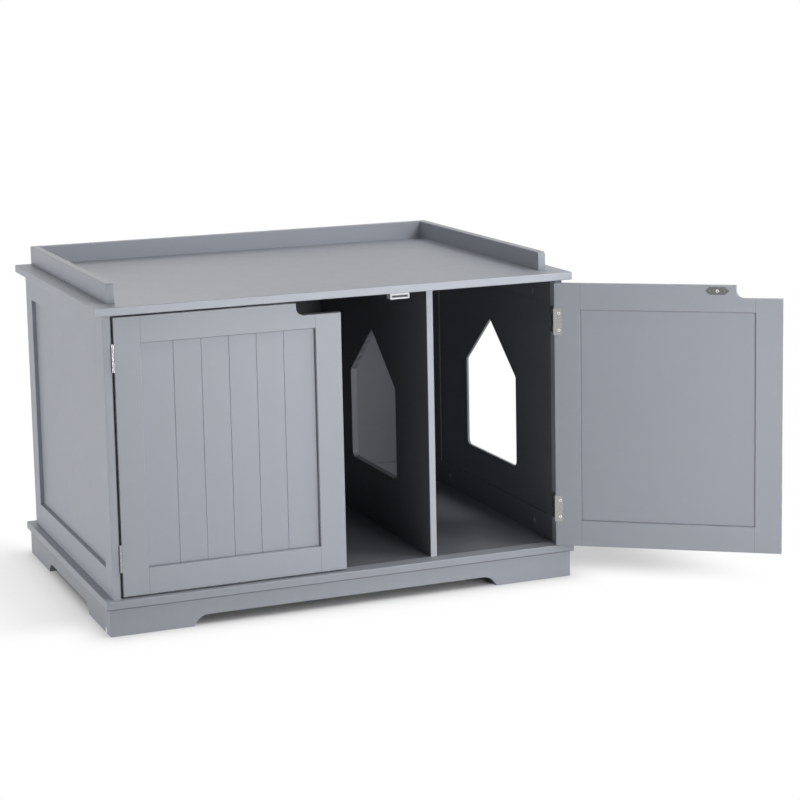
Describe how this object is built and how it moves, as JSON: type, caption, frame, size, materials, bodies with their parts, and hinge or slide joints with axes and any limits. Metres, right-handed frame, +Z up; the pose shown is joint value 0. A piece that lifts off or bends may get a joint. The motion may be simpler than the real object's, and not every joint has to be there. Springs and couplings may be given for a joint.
{
  "type": "cat litter box cabinet",
  "caption": "Low board cabinet that hides a litter box: divided inside, house-shaped doorways, swinging frame-and-panel doors, galleried top and bracket plinth.",
  "frame": {"origin": "on the floor, at the middle of the rear face of the plinth", "axes": "+X to the cabinet's right as seen from the front, +Y to its rear, +Z up"},
  "size_m": [1.2294, 0.8867, 0.624],
  "materials": {
    "painted_board": "satin grey-blue paint on fibreboard",
    "painted_panel": "satin grey-blue paint on thin fibreboard",
    "bare_wood": "bare softwood",
    "nickel_steel": "nickel-plated steel",
    "zinc_alloy": "cast zinc, matt",
    "white_plastic": "moulded white plastic",
    "ferrite": "sintered ferrite, matt"
  },
  "bodies": {
    "carcass": {"back_bottom_rail": "painted_board", "back_left_stile": "painted_board", "back_panel": "painted_panel", "back_right_stile": "painted_board", "back_top_rail": "painted_board", "base_board": "painted_board", "cam_bolts": "zinc_alloy", "cam_locks": "zinc_alloy", "catch_housings": "white_plastic", "catch_magnets": "ferrite", "catch_pole_plates": "nickel_steel", "catch_screws": "nickel_steel", "divider": "painted_board", "divider_dowels": "bare_wood", "frame_hinge_leaves": "nickel_steel", "frame_hinge_screws": "nickel_steel", "gallery_back_rail": "painted_board", "gallery_left_rail": "painted_board", "gallery_right_rail": "painted_board", "gallery_screws": "nickel_steel", "hinge_pins": "nickel_steel", "left_side_back_stile": "painted_board", "left_side_bottom_rail": "painted_board", "left_side_front_stile": "painted_board", "left_side_panel": "painted_panel", "left_side_top_rail": "painted_board", "plinth_back": "painted_board", "plinth_corner_blocks": "bare_wood", "plinth_front": "painted_board", "plinth_left": "painted_board", "plinth_right": "painted_board", "right_side_back_stile": "painted_board", "right_side_bottom_rail": "painted_board", "right_side_front_stile": "painted_board", "right_side_panel": "painted_panel", "right_side_top_rail": "painted_board", "top_board": "painted_board"},
    "left_door": {"left_door_bottom_rail": "painted_board", "left_door_free_stile": "painted_board", "left_door_hinge_leaves": "nickel_steel", "left_door_hinge_screws": "nickel_steel", "left_door_hinge_stile": "painted_board", "left_door_panel": "painted_panel", "left_door_strike_plate": "nickel_steel", "left_door_strike_screw": "nickel_steel", "left_door_top_rail": "painted_board"},
    "right_door": {"right_door_bottom_rail": "painted_board", "right_door_free_stile": "painted_board", "right_door_hinge_leaves": "nickel_steel", "right_door_hinge_screws": "nickel_steel", "right_door_hinge_stile": "painted_board", "right_door_panel": "painted_panel", "right_door_strike_plate": "nickel_steel", "right_door_strike_screw": "nickel_steel", "right_door_top_rail": "painted_board"}
  },
  "joints": [
    {"name": "left_door_swing", "type": "hinge", "parent": "carcass", "child": "left_door", "pos_m": [-0.426, -0.6234, 0.3185], "axis": [0, 0, -1], "range_deg": [0, 175]},
    {"name": "right_door_swing", "type": "hinge", "parent": "carcass", "child": "right_door", "pos_m": [0.426, -0.6234, 0.3185], "axis": [0, 0, 1], "range_deg": [-145, 30]}
  ]
}
